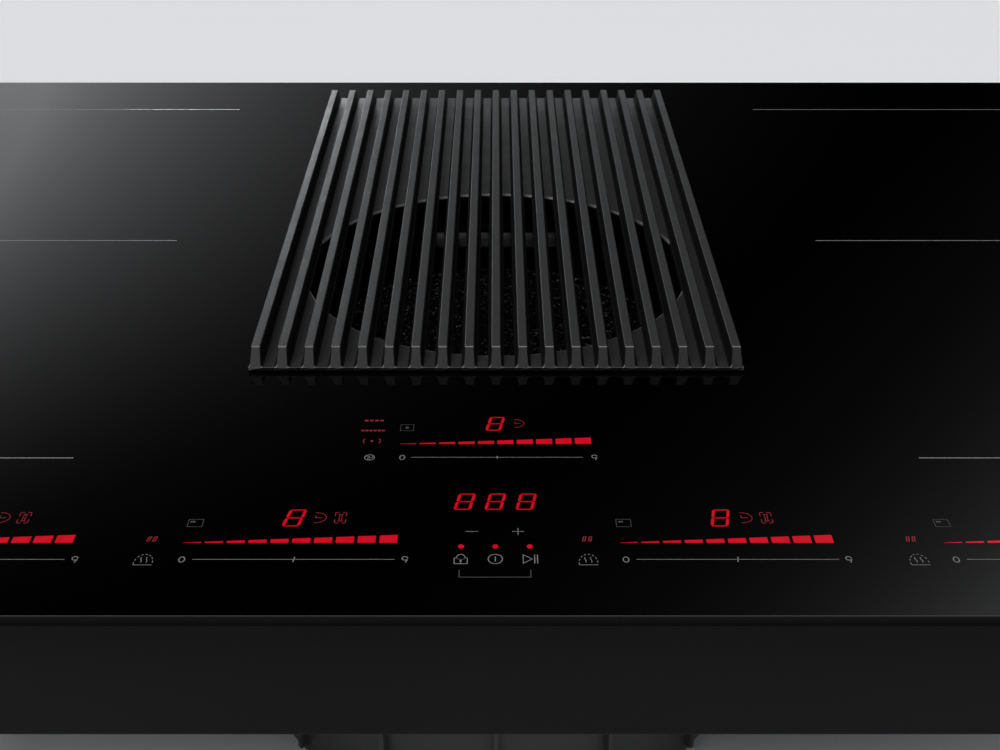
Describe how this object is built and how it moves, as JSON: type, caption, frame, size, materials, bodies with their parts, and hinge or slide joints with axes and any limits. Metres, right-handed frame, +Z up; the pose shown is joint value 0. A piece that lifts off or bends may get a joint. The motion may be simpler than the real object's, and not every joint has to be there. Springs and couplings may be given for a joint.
{
  "type": "downdraft induction cooktop",
  "caption": "Black glass-ceramic induction cooktop with flex zones and a central barred vent that draws air down into a blower with a flat duct outlet.",
  "frame": {"origin": "middle of the glass in plan, at the underside of the blower tub", "axes": "+X to the right along the glass, +Y towards the rear, away from the touch controls, +Z up out of the glass"},
  "size_m": [0.83, 0.52, 0.2288],
  "materials": {
    "black_glass_ceramic": "polished, opaque black",
    "cast_black": "matt, fine cast grain",
    "gloss_black": "glossy",
    "matt_black": "matt moulded",
    "grey_plastic": "satin moulded",
    "filter_metal": "layered expanded mesh",
    "aluminium": "rolled",
    "black_sheet": "black powder-coated sheet",
    "steel": "rolled",
    "copper_litz": "enamelled copper litz",
    "circuit_board": "solder resist",
    "silicone": "matt",
    "sealing_foam": "closed-cell foam"
  },
  "bodies": {
    "housing": {"glass_top": "black_glass_ceramic", "glass_seal": "sealing_foam", "glass_frame": "aluminium", "intake_collar": "gloss_black", "collar_seal": "silicone", "blower_tub": "matt_black", "intake_deck": "matt_black", "suction_chamber": "matt_black", "blower_motor": "steel", "outlet_spigot": "matt_black", "base_tray": "black_sheet", "touch_board": "circuit_board", "touch_carrier": "matt_black", "vent_board": "circuit_board", "terminal_box": "matt_black", "terminal_cover": "matt_black", "cable_gland": "matt_black", "worktop_clamp_front_left": "steel", "coil_carrier_front_left": "aluminium", "coil_winding_front_left": "copper_litz", "coil_sensor_front_left": "steel", "worktop_clamp_front_right": "steel", "coil_carrier_front_right": "aluminium", "coil_winding_front_right": "copper_litz", "coil_sensor_front_right": "steel", "worktop_clamp_rear_left": "steel", "coil_carrier_rear_left": "aluminium", "coil_winding_rear_left": "copper_litz", "coil_sensor_rear_left": "steel", "worktop_clamp_rear_right": "steel", "coil_carrier_rear_right": "aluminium", "coil_winding_rear_right": "copper_litz", "coil_sensor_rear_right": "steel", "coil_deck_left": "aluminium", "power_board_left": "circuit_board", "heat_sink_left": "aluminium", "cooler_frame_left": "matt_black", "coil_deck_right": "aluminium", "power_board_right": "circuit_board", "heat_sink_right": "aluminium", "cooler_frame_right": "matt_black"},
    "grille": {"vent_grille": "cast_black", "grille_pad_front_left": "silicone", "grille_pad_front_right": "silicone", "grille_pad_rear_left": "silicone", "grille_pad_rear_right": "silicone"},
    "basket": {"filter_basket": "gloss_black", "grease_filter": "filter_metal"},
    "cup": {"drip_cup": "grey_plastic"},
    "impeller": {"impeller": "grey_plastic"},
    "flap": {"outlet_flap": "grey_plastic"},
    "cooler_left": {"cooler_rotor_left": "matt_black"},
    "cooler_right": {"cooler_rotor_right": "matt_black"}
  },
  "joints": [
    {"name": "grille_lift", "type": "slide", "parent": "housing", "child": "grille", "axis": [0, 0, 1], "range_m": [0, 0.3]},
    {"name": "basket_lift", "type": "slide", "parent": "housing", "child": "basket", "axis": [0, 0, 1], "range_m": [0, 0.18]},
    {"name": "cup_lift", "type": "slide", "parent": "housing", "child": "cup", "axis": [0, 0, 1], "range_m": [0, 0.135]},
    {"name": "impeller_spin", "type": "hinge", "parent": "housing", "child": "impeller", "pos_m": [0, 0.122, 0.06], "axis": [0, 0, 1], "continuous": true},
    {"name": "flap_swing", "type": "hinge", "parent": "housing", "child": "flap", "pos_m": [0, 0.2393, 0.0884], "axis": [1, 0, 0], "range_deg": [0, 75]},
    {"name": "cooler_left_spin", "type": "hinge", "parent": "housing", "child": "cooler_left", "pos_m": [-0.2494, -0.1258, 0.165], "axis": [0, 0, 1], "continuous": true},
    {"name": "cooler_right_spin", "type": "hinge", "parent": "housing", "child": "cooler_right", "pos_m": [0.2494, -0.1258, 0.165], "axis": [0, 0, 1], "continuous": true}
  ],
  "couplings": [
    {"joint": "basket_lift", "follows": "grille_lift", "ratio": 0.6},
    {"joint": "cup_lift", "follows": "grille_lift", "ratio": 0.45}
  ]
}
